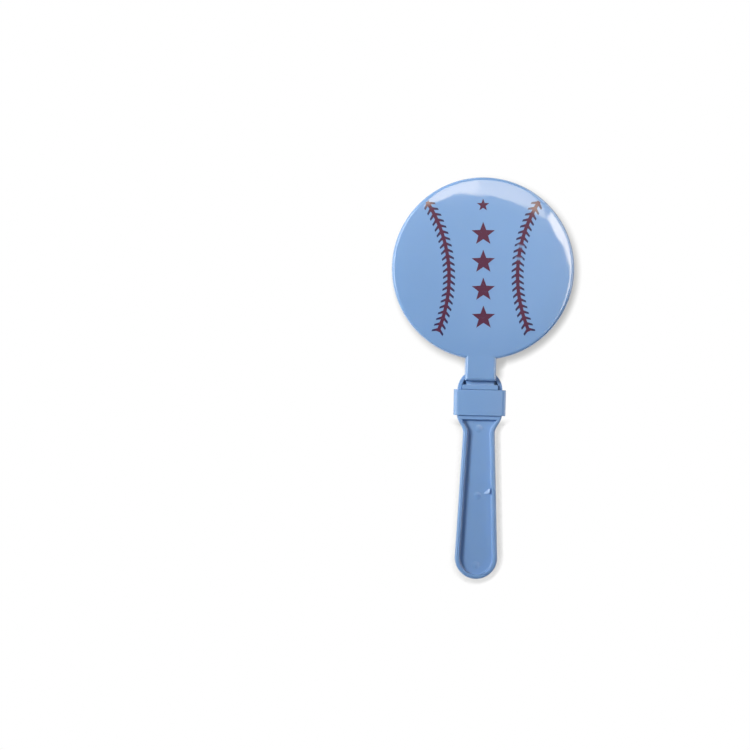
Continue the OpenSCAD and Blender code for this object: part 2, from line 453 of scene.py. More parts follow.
@dataclass(frozen=True)
class MouldedPolypropylene:
    """Pigmented polypropylene from a polished mould."""

    # The eye gets an even light blue that is deeper in corners, where light has gone through the wall, a soft
    # sheen, and over that a clear gloss whose edges waver where the wall has sunk in cooling. The real peel
    # of such a skin is finer than a pixel, so it is drawn coarser, at 1.6 mm, to show.
    name: str
    colour: str = "#82AAD8"
    streak_colour: str = "#88AFDD"
    streak_mm: float = 34.0
    sink_mm: float = 20.0
    sink_depth_mm: float = 0.15
    ripple_mm: float = 6.0
    ripple_depth_mm: float = 0.012
    peel_mm: float = 1.6
    peel_depth_mm: float = 0.0022
    sheen: float = 0.31
    worn_sheen: float = 0.40
    sheen_noise: Point = (0.3, 0.75)
    gloss: float = 0.06
    gloss_share: float = 1.0
    gloss_ior: float = 1.65
    ior: float = 1.49
    glow: float = 0.15
    glow_mm: Corner = (0.3, 0.5, 0.8)
    parting_z: float | None = None
    parting_mm: float = 0.22
    parting_rise_mm: float = 0.05

    def material(self) -> Material:
        """Build the node tree.

        Returns:
            The material.
        """
        material = bpy.data.materials.new(self.name)
        tree = empty_tree(material)
        place = add_node(tree, "TexCoord").outputs["Object"]
        flow = {"Vector": place, "Scale": 1 / (self.streak_mm * MM), "Detail": 3.0, "Roughness": 0.55}
        streaks = add_node(tree, "TexNoise", flow)
        blues = {"Factor": streaks, "A": linear(self.colour), "B": linear(self.streak_colour)}
        colour = add_node(tree, "Mix", blues, data_type="RGBA")
        rub = {"Vector": place, "Scale": 1 / (self.sink_mm * MM), "Detail": 5.0}
        wear = add_node(tree, "TexNoise", rub)
        low, high = self.sheen_noise
        sheens = {"From Min": low, "From Max": high, "To Min": self.sheen, "To Max": self.worn_sheen}
        roughness = add_node(tree, "MapRange", {"Value": wear, **sheens})
        relief = self.relief(tree, place)
        skin = {"Base Color": colour, "Roughness": roughness, "IOR": self.ior, "Normal": relief}
        glow = {"Subsurface Weight": self.glow, "Subsurface Radius": self.glow_mm, "Subsurface Scale": MM}
        coat = {"Coat Weight": self.gloss_share, "Coat Roughness": self.gloss, "Coat IOR": self.gloss_ior}
        shader = add_node(tree, "BsdfPrincipled", {**skin, **glow, **coat, "Coat Normal": relief})
        add_node(tree, "OutputMaterial", {"Surface": shader})
        return material

    def relief(self, tree: Tree, place: bpy.types.NodeSocket) -> Node:
        """Lay the sink of the walls, the ripple and peel of the skin and the parting line over one another.

        Args:
            tree: The material's node tree.
            place: Object coordinates.

        Returns:
            The node that gives the normal.
        """
        normal = None
        for period, depth, detail in (
            (self.sink_mm, self.sink_depth_mm, 1.0),
            (self.ripple_mm, self.ripple_depth_mm, 1.0),
            (self.peel_mm, self.peel_depth_mm, 2.0),
        ):
            waves = {"Vector": place, "Scale": 1 / (period * MM), "Detail": detail}
            height = add_node(tree, "TexNoise", waves)
            inputs = {"Height": height, "Distance": depth * MM, "Strength": 1.0}
            if normal is not None:
                inputs["Normal"] = normal
            normal = add_node(tree, "Bump", inputs)
        if self.parting_z is None:
            return normal
        height = add_node(tree, "SeparateXYZ", {"Vector": place}).outputs["Z"]
        offset = add_node(tree, "Math", {0: height, 1: self.parting_z}, operation="SUBTRACT")
        away = add_node(tree, "Math", {0: offset}, operation="ABSOLUTE")
        fade = {"Value": away, "From Max": self.parting_mm * MM, "To Min": 1.0, "To Max": 0.0}
        ridge = add_node(tree, "MapRange", fade, interpolation_type="SMOOTHSTEP")
        line = {"Height": ridge, "Distance": self.parting_rise_mm * MM, "Normal": normal}
        return add_node(tree, "Bump", line)


@dataclass(frozen=True)
class ScreenInk:
    """Screen-printed ink on polypropylene."""

    # The eye gets a dark red that turns to violet where the film thins out at the tips, pinholes where the
    # ink didn't take, and a clear gloss that pales it where a lamp shines on it. Real pinholes are a few
    # tenths of a millimetre across, so they are drawn coarser, at 1.3 mm, to show.
    name: str
    colour: str = "#58193A"
    edge_colour: str = "#2C2452"
    violet_from: float = 0.05
    violet_full: float = 0.6
    bare_colour: str = "#82A8D4"
    pinhole_mm: float = 1.3
    pinhole_share: float = 0.16
    pinhole_noise: Point = (0.58, 0.78)
    satin: float = 0.38
    gloss: float = 0.09
    gloss_ior: float = 1.65
    ior: float = 1.5

    def material(self) -> Material:
        """Build the node tree.

        Returns:
            The material.
        """
        material = bpy.data.materials.new(self.name)
        tree = empty_tree(material)
        place = add_node(tree, "TexCoord").outputs["Object"]
        reach, worn = (
            add_node(tree, "Attribute", attribute_name=mark.value).outputs["Fac"]
            for mark in (InkMark.REACH, InkMark.WORN)
        )
        tips = {"Value": reach, "From Min": self.violet_from, "From Max": self.violet_full}
        thin = add_node(tree, "MapRange", tips)
        inks = {"Factor": thin, "A": linear(self.colour), "B": linear(self.edge_colour)}
        red = add_node(tree, "Mix", inks, data_type="RGBA")
        gaps = {"Vector": place, "Scale": 1 / (self.pinhole_mm * MM), "Detail": 3.0, "Roughness": 0.6}
        grain = add_node(tree, "TexNoise", gaps)
        low, high = self.pinhole_noise
        spots = {"Value": grain, "From Min": low, "From Max": high, "To Max": self.pinhole_share}
        pinholes = add_node(tree, "MapRange", spots)
        bare = add_node(tree, "Math", {0: pinholes, 1: worn}, operation="MAXIMUM")
        layers = {"Factor": bare, "A": red, "B": linear(self.bare_colour)}
        colour = add_node(tree, "Mix", layers, data_type="RGBA")
        film = {"Base Color": colour, "Roughness": self.satin, "IOR": self.ior}
        coat = {"Coat Weight": 1.0, "Coat Roughness": self.gloss, "Coat IOR": self.gloss_ior}
        shader = add_node(tree, "BsdfPrincipled", {**film, **coat})
        add_node(tree, "OutputMaterial", {"Surface": shader})
        return material


@dataclass(frozen=True)
class PaperShadow:
    """Soft shadow on the paper: its reach, the brightest part of the sky, and the open shares at its ends."""

    reach_mm: float
    lean: Corner
    covered: float
    bare: float
    samples: int = 16

    def fade(self, tree: Tree) -> Node:
        """Tell how open the sky is over the paper, on the side that the key shines from.

        Args:
            tree: The material's node tree.

        Returns:
            The node, from 0 in the full shadow to 1 on bare paper.
        """
        key = add_node(tree, "CombineXYZ", dict(zip("XYZ", Vector(self.lean).normalized())))
        around = {"Distance": self.reach_mm * MM, "Normal": key}
        sky = add_node(tree, "AmbientOcclusion", around, samples=self.samples)
        ends = {"Value": sky.outputs["AO"], "From Min": self.covered, "From Max": self.bare}
        return add_node(tree, "MapRange", ends)


@dataclass(frozen=True)
class WhiteSweep:
    """Matt white studio paper."""

    # The eye gets a soft shadow close to the object, away from the key, and a sheet that runs out to plain
    # white. The rims stand close over the paper and the grip lies 9 mm above it, so each has its own shadow.
    name: str = "studio_paper_matt_white"
    colour: str = "#FEFEFE"
    shade: str = "#B8B8B8"
    white: str = "#FFFFFF"
    grip: PaperShadow = PaperShadow(10.9, (-0.77, 0.58, 0.28), covered=0.96, bare=0.997)
    rims: PaperShadow = PaperShadow(8.8, (-0.58, 0.42, 0.7), covered=0.47, bare=0.86)
    grip_until_y: float = -34.0
    rims_from_y: float = -28.0

    def material(self) -> Material:
        """Build the node tree.

        Returns:
            The material.
        """
        material = bpy.data.materials.new(self.name)
        tree = empty_tree(material)
        place = add_node(tree, "TexCoord").outputs["Object"]
        along = add_node(tree, "SeparateXYZ", {"Vector": place}).outputs["Y"]
        ends = {"Value": along, "From Min": self.grip_until_y * MM, "From Max": self.rims_from_y * MM}
        part = add_node(tree, "MapRange", ends)
        shadows = {"Factor": part, "A": self.grip.fade(tree), "B": self.rims.fade(tree)}
        fade = add_node(tree, "Mix", shadows)
        tones = {"Factor": fade, "A": linear(self.shade), "B": linear(self.white)}
        tone = add_node(tree, "Mix", tones, data_type="RGBA")
        path = add_node(tree, "LightPath")
        rays = {0: path.outputs["Is Camera Ray"], 1: path.outputs["Is Glossy Ray"]}
        seen = add_node(tree, "Math", rays, operation="MAXIMUM")
        paper = add_node(tree, "BsdfDiffuse", {"Color": linear(self.colour)})
        sheet = add_node(tree, "Emission", {"Color": tone, "Strength": 1.0})
        mix = add_node(tree, "MixShader", {"Fac": seen, 1: paper, 2: sheet})
        add_node(tree, "OutputMaterial", {"Surface": mix})
        return material


# Sub-assemblies


def dress(piece: Piece, finish: Material, node: str) -> None:
    """Give a piece its finish, hide the solid that it stands for and log which one that is.

    Args:
        piece: The finished piece.
        finish: Its material.
        node: The solid that it replaces.
    """
    piece.data.materials.clear()
    piece.data.materials.append(finish)
    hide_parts(node)
    LOG.info("%s: %d faces, stands for %s", piece.name, len(piece.data.polygons), node)


@dataclass
class Moulding:
    """Piece of plastic that stands for one solid and moves with one body."""

    node: str
    body: Body

    def dress(self, piece: Piece, finish: Material) -> None:
        """Give the piece its finish and let it move with its body."""
        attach(piece, self.body.value)
        dress(piece, finish, self.node)


@dataclass
class OuterPaddle(Moulding):
    """Round dish with a hollow neck, open towards the centre paddle. Sizes are in millimetres."""

    wall: float = 1.4
    fillet: float = 2.3
    flat_r: float = 43.0
    first_ring: float = 0.9
    crown_drop: float = 0.8
    neck_w: float = 21.6
    neck_fillet: float = 2.2
    edge: float = 0.25
    crown_steps: int = 10
    fillet_steps: int = 9
    neck_steps: int = 7

    def __post_init__(self) -> None:
        """Take the dish's place and main sizes from its solid."""
        low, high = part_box(self.node)
        self.radius = (high.x - low.x) / 2
        self.centre = (0.0, high.y - self.radius)
        self.neck_end = low.y
        front = self.body is Body.FRONT
        self.outwards = 1 if front else -1
        self.open_z, self.face_z = (low.z, high.z) if front else (high.z, low.z)
        self.fillet_r = self.radius - self.fillet * MM
        run = self.fillet_r - self.flat_r * MM
        self.crown_r = run**2 / (2 * self.crown_drop * MM)
        self.lean = math.atan(run / self.crown_r)

    def drop(self, r: float) -> float:
        """How far the face has fallen at a radius."""
        return max(0.0, r - self.flat_r * MM) ** 2 / (2 * self.crown_r)

    def skin(self, r: float) -> float:
        """Height of the outer skin at a radius, on the crown or on the fillet.

        Args:
            r: Distance from the dish's axis.

        Returns:
            The height.
        """
        fillet = self.fillet * MM
        edge = self.fillet_r + fillet * math.sin(self.lean)
        depth = self.drop(min(r, edge))
        if r > edge:
            reach = min(r - self.fillet_r, fillet)
            depth += fillet * math.cos(self.lean) - math.sqrt(fillet**2 - reach**2)
        return self.face_z - self.outwards * depth

    def section(self, inset: float, depth: float) -> list[Point]:
        """Rings of the dish from its flat middle over the fillet to its rim.

        Args:
            inset: Distance inside the outer skin.
            depth: Depth of the last ring below the face.

        Returns:
            Radius and height of each ring.
        """
        flat_r = self.flat_r * MM
        fillet = self.fillet * MM - inset
        start = self.fillet_r + fillet * math.sin(self.lean)
        fillet_z = self.drop(start) + inset + fillet * math.cos(self.lean)
        rings = [(self.first_ring * flat_r, inset)]
        for i in range(self.crown_steps + 1):
            r = flat_r + (start - flat_r) * i / self.crown_steps
            rings.append((r, self.drop(r) + inset))
        for i in range(1, self.fillet_steps + 1):
            turn = (math.pi / 2 - self.lean) * (1 - i / self.fillet_steps)
            rings.append((self.fillet_r + fillet * math.cos(turn), fillet_z - fillet * math.sin(turn)))
        rings.append((self.radius - inset, depth))
        return [(r, self.face_z - self.outwards * z) for r, z in rings]

    def neck(self, name: str, inset: float, end_y: float, lift: float) -> Piece:
        """Bar for the neck or for the hollow in it, from its end to the middle of the dish.

        Args:
            name: Name of the bar.
            inset: Distance inside the outer skin.
            end_y: Where its end is.
            lift: How far it reaches past the open side.

        Returns:
            The bar.
        """
        half = self.neck_w * MM / 2 - inset
        top = self.face_z - self.outwards * (self.drop(self.fillet_r) + inset)
        low_z, high_z = sorted((top, self.open_z - self.outwards * lift))
        return block(name, (-half, end_y, low_z), (half, self.centre[1], high_z))

    def build(self) -> Piece:
        """Turn the dish, join the neck to it and hollow both.

        Returns:
            The moulding.
        """
        depth = abs(self.face_z - self.open_z)
        wall = self.wall * MM
        top = self.face_z - self.outwards * self.drop(self.fillet_r)
        piece = turned(f"{self.node}_moulding", self.centre, self.section(0.0, depth))
        neck = self.neck("neck", 0.0, self.neck_end, 0.0)
        round_edges(
            neck,
            lambda ends: lie_at(ends, Axis.Z, top) and not lie_at(ends, Axis.Y, self.centre[1]),
            self.neck_fillet * MM,
            self.neck_steps,
        )
        combine(piece, Operation.JOIN, neck)
        dish_hollow = turned("dish_hollow", self.centre, self.section(wall, depth + PAST))
        neck_hollow = self.neck("neck_hollow", wall, self.neck_end + wall, PAST)
        combine(piece, Operation.CUT, dish_hollow, neck_hollow)
        face_outwards(piece, JOINED_MM)
        soften(piece, self.edge * MM)
        smooth(piece)
        return piece


@dataclass
class CentrePaddle(Moulding):
    """Disc, neck, shouldered head and handle in one, sunk on both faces. Sizes are in millimetres."""

    node: str = "centre_paddle"
    body: Body = Body.HANDLE
    web: float = 1.8
    panel_rim: float = 1.8
    neck_w: float = 21.6
    head_w: float = 31.2
    shoulder_r: float = 13.9
    shoulder_rim: float = 2.6
    pocket_w: float = 26.3
    pocket_bar: float = 2.5
    pocket_lap: float = 0.1
    waist_w: float = 22.0
    flare_len: float = 12.0
    grip_w: float = 29.6
    grip_edge: float = 1.5
    tray_rim: float = 2.9
    tray_bar: float = 2.9
    tray_corner: float = 1.0
    edge: float = 0.4
    shoulder_steps: int = 20
    flare_steps: int = 16
    end_steps: int = 30
    end_turn: float = 88.0
    grip_edge_steps: int = 5
    tray_corner_steps: int = 6
    pin_mark_r: float = 3.1
    pin_mark_rise: float = 0.36
    pin_mark_root: float = 0.036
    pin_mark_rings: int = 6
    pin_mark_sides: int = 48
    pin_marks: tuple[float, ...] = (-35.2, -82.0, -130.5)
    gate: Point = (6.4, -78.4)
    gate_size: Point = (4.2, 3.8)
    gate_rise: float = 0.9
    gate_lean: Point = (-0.42, 0.13)

    def __post_init__(self) -> None:
        """Take the moulding's place from its solid and from the collar's."""
        low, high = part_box(self.node)
        collar_low, collar_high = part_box("collar")
        self.radius = (high.x - low.x) / 2
        self.centre = (0.0, high.y - self.radius)
        self.low_z, self.high_z = low.z, high.z
        self.mid_z = (low.z + high.z) / 2
        self.collar_low, self.collar_top = collar_low.y, collar_high.y
        self.grip_y = low.y + self.grip_w * MM / 2

    def edge_stations(self, inset: float, start: float) -> list[Point]:
        """Half widths of the handle from a start below the head to the tip of the round end.

        Args:
            inset: Distance inside the outer edge.
            start: Y of the first station.

        Returns:
            Half width and Y of each station.
        """
        head, waist, grip = (w * MM / 2 - inset for w in (self.head_w, self.waist_w, self.grip_w))
        stations = []
        for i in range(self.flare_steps + 1):
            share = i / self.flare_steps
            half = head - (head - waist) * (1 - math.cos(math.pi * share)) / 2
            stations.append((half, self.collar_low - self.flare_len * MM * share))
        for i in range(self.end_steps + 1):
            turn = math.radians(self.end_turn) * i / self.end_steps
            stations.append((grip * math.cos(turn), self.grip_y - grip * math.sin(turn)))
        below = [station for station in stations if station[1] < start]
        if len(below) == len(stations):
            return [(stations[0][0], start), *stations]
        (half_a, y_a), (half_b, y_b) = stations[-len(below) - 1], below[0]
        return [(half_a + (half_b - half_a) * (start - y_a) / (y_b - y_a), start), *below]

    def head(self, name: str, inset: float, low_y: float, low_z: float, high_z: float) -> Piece:
        """Block with round shoulders, for the head, the pocket in it or a foot that fits the pocket.

        Args:
            name: Name of the block.
            inset: Distance inside the outer edge.
            low_y: Lower end.
            low_z: Height of its lower face.
            high_z: Height of its upper face.

        Returns:
            The block.
        """
        half = self.head_w * MM / 2 - inset
        radius = self.shoulder_r * MM - inset
        top = self.collar_top + radius
        piece = block(name, (-half, low_y, low_z), (half, top, high_z))
        round_edges(
            piece,
            lambda ends: lie_at(ends, Axis.Y, top) and runs_along(ends, Axis.Z),
            radius,
            self.shoulder_steps,
        )
        return piece

    def outside(self) -> list[Piece]:
        """Blocks for the disc, the neck, the head and the handle.

        Returns:
            The blocks.
        """
        low_z, high_z = self.low_z, self.high_z
        half = self.neck_w * MM / 2
        return [
            drum(f"{self.node}_moulding", self.centre, self.radius, low_z, high_z),
            block("neck", (-half, self.collar_top, low_z), (half, self.centre[1], high_z)),
            self.head("head", 0.0, self.collar_low, low_z, high_z),
            strip("handle", self.edge_stations(0.0, self.collar_low + PAST), low_z, high_z),
        ]

    def hollows(self, floor_z: float, past_z: float) -> list[Piece]:
        """Blocks that are taken out of one face: the panel, the head's pocket and the tray of the handle.

        Args:
            floor_z: Height of the web's face.
            past_z: A height outside the moulding.

        Returns:
            The blocks.
        """
        low_z, high_z = sorted((floor_z, past_z))
        rim = self.panel_rim * MM
        half, wide = self.neck_w * MM / 2 - rim, self.pocket_w * MM / 2
        pocket_low = self.collar_low + self.pocket_bar * MM
        pocket_top = self.collar_top + self.pocket_lap * MM
        tray_top = self.collar_low - self.tray_bar * MM
        tray = strip("tray_hollow", self.edge_stations(self.tray_rim * MM, tray_top), low_z, high_z)
        flatten(tray)
        round_edges(
            tray,
            lambda ends: lie_at(ends, Axis.Z, floor_z),
            self.tray_corner * MM,
            self.tray_corner_steps,
        )
        return [
            drum("disc_hollow", self.centre, self.radius - rim, low_z, high_z),
            block("neck_hollow", (-half, self.collar_top, low_z), (half, self.centre[1], high_z)),
            self.head("head_hollow", self.shoulder_rim * MM, self.collar_top, low_z, high_z),
            block("pocket", (-wide, pocket_low, low_z), (wide, pocket_top, high_z)),
            tray,
        ]

    def build(self) -> Piece:
        """Join the outside, round the grip, sink both faces and leave the marks of the mould.

        Returns:
            The moulding.
        """
        piece, *others = self.outside()
        combine(piece, Operation.JOIN, *others)
        face_outwards(piece, JOINED_MM)
        flatten(piece)
        round_edges(
            piece,
            lambda ends: not runs_along(ends, Axis.Z) and max(end.y for end in ends) < self.collar_low - PAST,
            self.grip_edge * MM,
            self.grip_edge_steps,
        )
        web = self.web * MM / 2
        combine(piece, Operation.CUT, *self.hollows(self.mid_z + web, self.high_z + PAST))
        combine(piece, Operation.CUT, *self.hollows(self.mid_z - web, self.low_z - PAST))
        face_outwards(piece, JOINED_MM)
        flatten(piece)
        soften(piece, self.edge * MM)
        combine(piece, Operation.JOIN, *self.marks(self.mid_z + web))
        smooth(piece)
        return piece

    def marks(self, floor: float) -> list[Piece]:
        """Crowned marks of the ejector pins on the front tray's floor, and the runner's stub beside them.

        Args:
            floor: Height of the tray's floor.

        Returns:
            The marks, which reach down to the middle of the web.
        """
        radius, rise = self.pin_mark_r * MM, self.pin_mark_rise * MM
        fall = rise + self.pin_mark_root * MM
        shares = [(i + 1) / self.pin_mark_rings for i in range(self.pin_mark_rings)]
        profile = [(radius * share, floor + rise - fall * share**2) for share in shares]
        profile.append((radius, self.mid_z))
        marks = [turned("pin_mark", (0.0, y * MM), profile, self.pin_mark_sides) for y in self.pin_marks]
        return [*marks, self.gate_stub(floor)]

    def gate_stub(self, floor: float) -> Piece:
        """Three-cornered stub by the tray's wall, broken off aslant.

        Args:
            floor: Height of the tray's floor.

        Returns:
            The stub.
        """
        x, y = (value * MM for value in self.gate)
        half_x, half_y = (value * MM / 2 for value in self.gate_size)
        rise = self.gate_rise * MM
        low = (x - half_x, y - half_y, self.mid_z)
        piece = block("gate_stub", low, (x + half_x, y + half_y, floor + 2 * rise))
        cuts = (
            ((x, y, floor), (-half_y, half_x, 0.0)),
            ((x, y, floor + rise), (*self.gate_lean, 1.0)),
        )
        for place, outwards in cuts:
            with editing(piece, whole=True):
                bpy.ops.mesh.bisect(
                    plane_co=place,
                    plane_no=Vector(outwards).normalized(),
                    use_fill=True,
                    clear_outer=True,
                    threshold=NEAR,
                )
        face_outwards(piece)
        return piece


@dataclass
class Collar(Moulding):
    """Rectangular sleeve with cut corners that slides over the head. Sizes are in millimetres."""

    node: str = "collar"
    body: Body = Body.HANDLE
    cut_x: float = 3.6
    cut_z: float = 2.15
    hole_w: float = 31.5
    hole_t: float = 9.7
    edge: float = 0.4

    def build(self) -> Piece:
        """Cut the four long corners of a block and push the head's hole through it.

        Returns:
            The sleeve.
        """
        low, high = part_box(self.node)
        middle = (low + high) / 2
        stretch = self.cut_x / self.cut_z
        half_x = (high.x - low.x) / 2 / stretch
        piece = block(f"{self.node}_sleeve", (-half_x, low.y, low.z), (half_x, high.y, high.z))
        round_edges(piece, lambda ends: runs_along(ends, Axis.Y), self.cut_z * MM, steps=1)
        with editing(piece, whole=True):
            bpy.ops.transform.resize(value=(stretch, 1, 1), center_override=middle)
        half_w, half_t = self.hole_w * MM / 2, self.hole_t * MM / 2
        hole = block(
            "head_hole",
            (-half_w, low.y - PAST, middle.z - half_t),
            (half_w, high.y + PAST, middle.z + half_t),
        )
        combine(piece, Operation.CUT, hole)
        face_outwards(piece, JOINED_MM)
        flatten(piece)
        soften(piece, self.edge * MM)
        smooth(piece)
        return piece


@dataclass
class FilmHinge:
    """Thin strip between a paddle's neck and the foot that the collar locks. Sizes are in millimetres."""

    film_node: str
    foot_node: str
    body: Body
    centre: CentrePaddle
    root: float = 0.4
    root_rise: float = 0.2
    root_power: int = 4
    bend_steps: int = 12
    foot_gap: float = 0.3
    collar_gap: float = 0.15
    edge: float = 0.25

    def __post_init__(self) -> None:
        """Take the strip's and the foot's places from their solids."""
        self.film_low, self.film_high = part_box(self.film_node)
        self.foot_low, self.foot_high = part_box(self.foot_node)

    def build_film(self) -> Piece:
        """Draw out a strip with many rows for its bend, thicker at both roots.

        Returns:
            The strip, which reaches a little into the neck and the foot.
        """
        root = Vector((0, self.root * MM, 0))
        low, high = self.film_low - root, self.film_high + root
        piece = block(f"{self.film_node}_strip", low, high)
        with editing(piece):
            pick(piece, lambda ends: runs_along(ends, Axis.Y))
            bpy.ops.mesh.subdivide(number_cuts=self.bend_steps)
        middle = (low + high) / 2
        half_len = (high.y - low.y) / 2
        rise = 2 * self.root_rise * MM / (high.z - low.z)
        for vertex in piece.data.vertices:
            share = abs(vertex.co.y - middle.y) / half_len
            vertex.co.z = middle.z + (vertex.co.z - middle.z) * (1 + rise * share**self.root_power)
        face_outwards(piece)
        smooth(piece)
        return piece

    def build_foot(self) -> Piece:
        """Join the block between the head's shoulders to the tongue under the collar.

        Returns:
            The foot.
        """
        low, high, centre = self.foot_low, self.foot_high, self.centre
        front = self.body is Body.FRONT
        tongue_low, tongue_high = (low.z, centre.high_z) if front else (centre.low_z, high.z)
        gap = self.collar_gap * MM
        tongue_end = (high.x, centre.collar_top - gap, tongue_high)
        piece = block(f"{self.foot_node}_tongue", (low.x, low.y, tongue_low), tongue_end)
        stem_low = (self.film_low.x, low.y + PAST, tongue_low)
        stem = block("stem", stem_low, (self.film_high.x, centre.collar_top + PAST, tongue_high))
        inset = (centre.shoulder_rim + self.foot_gap) * MM
        step = centre.head("step", inset, centre.collar_top + gap, low.z, high.z)
        above_low = (low.x - PAST, high.y, low.z - PAST)
        above = block("above", above_low, (high.x + PAST, high.y + high.x, high.z + PAST))
        combine(step, Operation.CUT, above)
        combine(piece, Operation.JOIN, stem, step)
        face_outwards(piece, JOINED_MM)
        flatten(piece)
        soften(piece, self.edge * MM)
        smooth(piece)
        return piece

    def dress(self, film: Piece, foot: Piece, finish: Material) -> None:
        """Keep the strip where it lies, unattached to any body, fix the foot to the handle, and give both
        their finish.

        Args:
            film: The strip.
            foot: The foot.
            finish: Their material.
        """
        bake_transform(film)
        dress(film, finish, self.film_node)
        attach(foot, Body.HANDLE.value)
        dress(foot, finish, self.foot_node)


@dataclass
class PrintedFace:
    """Two stitched seams and a column of stars on the front paddle. Sizes are in millimetres."""

    paddle: OuterPaddle
    seam_r: float = 97.0
    seam_inset: float = 23.8
    seam_low: float = 5.6
    seam_rise: float = 46.5
    seam_fall: float = 45.0
    worn: tuple[float, ...] = (34.0, 42.7)
    worn_len: float = 1.5
    pitch: float = 4.35
    arm: float = 4.2
    stroke: float = 1.8
    tip_share: float = 0.7
    spine: float = 2.4
    slope: float = 33.0
    star_d: float = 17.0
    star_points: int = 5
    star_notch: float = 0.42
    star_count: int = 4
    star_pitch: float = 19.4
    star_low: float = -34.3
    small_star_d: float = 9.0
    small_star_y: float = 44.0
    turn: float = 1.5
    ink: float = 0.06
    crown_cuts: int = 2

    def on_face(self, x: float, y: float) -> Vector:
        """Place on the crowned face of a point of the flat print.

        Args:
            x: Distance to the right of the disc's middle.
            y: Distance above it.

        Returns:
            The point on the skin.
        """
        turn = math.radians(self.turn)
        u = x * math.cos(turn) - y * math.sin(turn)
        v = x * math.sin(turn) + y * math.cos(turn)
        return Vector((u, self.paddle.centre[1] + v, self.paddle.skin(math.hypot(u, v))))

    def by_seam(self, side: float, along: float) -> Point:
        """Place in the flat print of a point beside the right-hand seam.

        Args:
            side: Distance from the seam's line.
            along: Distance from its upper end.

        Returns:
            Distances to the right of the disc's middle and above it.
        """
        radius = self.seam_r * MM
        turn = math.asin((self.seam_rise + self.seam_low) / self.seam_r) - along / radius
        x = self.seam_inset * MM + radius - (radius + side) * math.cos(turn)
        return x, (radius + side) * math.sin(turn) - self.seam_low * MM

    def seam_length(self) -> float:
        """Length of a seam along its line.

        Returns:
            The length.
        """
        top = math.asin((self.seam_rise + self.seam_low) / self.seam_r)
        low = math.asin((self.seam_fall - self.seam_low) / self.seam_r)
        return self.seam_r * MM * (top + low)

    def wear(self, place: Vector) -> float:
        """Share of the ink that is missing at a point of the flat right-hand seam.

        Args:
            place: Its distance from the seam's line in X and along the seam in Y.

        Returns:
            Zero for full ink, up to one for bare plastic.
        """
        nearest = min(abs(place.y - spot * MM) for spot in self.worn)
        return max(0.0, 1 - nearest / (self.worn_len * MM)) if abs(place.x) < self.spine * MM else 0.0

    def flat_seam(self) -> Piece:
        """Draw out a straight line with slanted arms at each stitch, and note where its ink is thin.

        Returns:
            The seam, from its upper end along Y.
        """
        half, arm, pitch = self.spine * MM / 2, self.arm * MM, self.pitch * MM
        slope = math.radians(self.slope)
        thick = self.stroke * MM / math.cos(slope)
        lead = half * math.tan(slope)
        fall = (arm - half) * math.tan(slope)
        count = int(self.seam_length() / pitch) + 1
        rows = [lead + i * pitch + thick / 2 for i in range(count)]
        steps = [thick, pitch - thick] * count
        deselect()
        bpy.ops.mesh.primitive_plane_add(size=1, location=(0, lead / 2, 0))
        piece = settle("seam_print_ink", (2 * half, lead, 1))
        with editing(piece):
            pick(piece, lambda ends: lie_at(ends, Axis.Y, lead))
            for step in steps[:-1]:
                draw_out((0, step, 0))
            for side in (-1, 1):
                pick(
                    piece,
                    lambda ends: lie_at(ends, Axis.X, side * half)
                    and any(abs((ends[0].y + ends[1].y) / 2 - row) < thick / 2 for row in rows),
                )
                draw_out((side * (arm - half), fall, 0))
        for vertex in piece.data.vertices:
            if abs(vertex.co.x) > arm - NEAR:
                row = min((row + fall for row in rows), key=lambda row: abs(row - vertex.co.y))
                vertex.co.y = row + (vertex.co.y - row) * self.tip_share
        with editing(piece, whole=True):
            bpy.ops.mesh.subdivide(number_cuts=self.crown_cuts)
        places = [vertex.co for vertex in piece.data.vertices]
        reach = [max(0.0, abs(place.x) - half) / (arm - half) for place in places]
        worn = [self.wear(place) for place in places]
        for mark, values in ((InkMark.REACH, reach), (InkMark.WORN, worn)):
            piece.data.attributes.new(mark.value, "FLOAT", "POINT").data.foreach_set("value", values)
        return piece

    def build_seams(self) -> Piece:
        """Lay one seam along its curve and a mirrored copy, which isn't worn, on the other side.

        Returns:
            Both seams.
        """
        piece = self.flat_seam()
        activate(piece)
        bpy.ops.object.duplicate()
        left = bpy.context.object
        left.data.flip_normals()
        full = [0.0] * len(left.data.vertices)
        left.data.attributes[InkMark.WORN.value].data.foreach_set("value", full)
        for seam, side in ((piece, 1), (left, -1)):
            for vertex in seam.data.vertices:
                x, y = self.by_seam(-vertex.co.x, vertex.co.y)
                vertex.co = self.on_face(side * x, y)
        activate(piece, left)
        bpy.ops.object.join()
        self.thicken(piece)
        return piece

    def star(self, y: float, size: float) -> Piece:
        """Pull in every other point of a ring to make a star on the print's middle line.

        Args:
            y: Distance of its middle above the disc's, in millimetres.
            size: Its diameter in millimetres.

        Returns:
            The flat star.
        """
        deselect()
        middle = Vector((0, y * MM, 0))
        bpy.ops.mesh.primitive_circle_add(
            vertices=2 * self.star_points, radius=size * MM / 2, fill_type="TRIFAN", location=middle
        )
        piece = settle("star_print_ink")
        ring = [v.co.copy() for v in piece.data.vertices if (v.co - middle).length > NEAR]
        notches = ring[1::2]
        with editing(piece):
            pick(piece, lambda corners: corners[0] in notches, Kind.VERTICES)
            bpy.ops.transform.resize(value=(self.star_notch, self.star_notch, 1), center_override=middle)
            bpy.ops.mesh.select_all(action="SELECT")
            bpy.ops.mesh.subdivide(number_cuts=self.crown_cuts)
        return piece

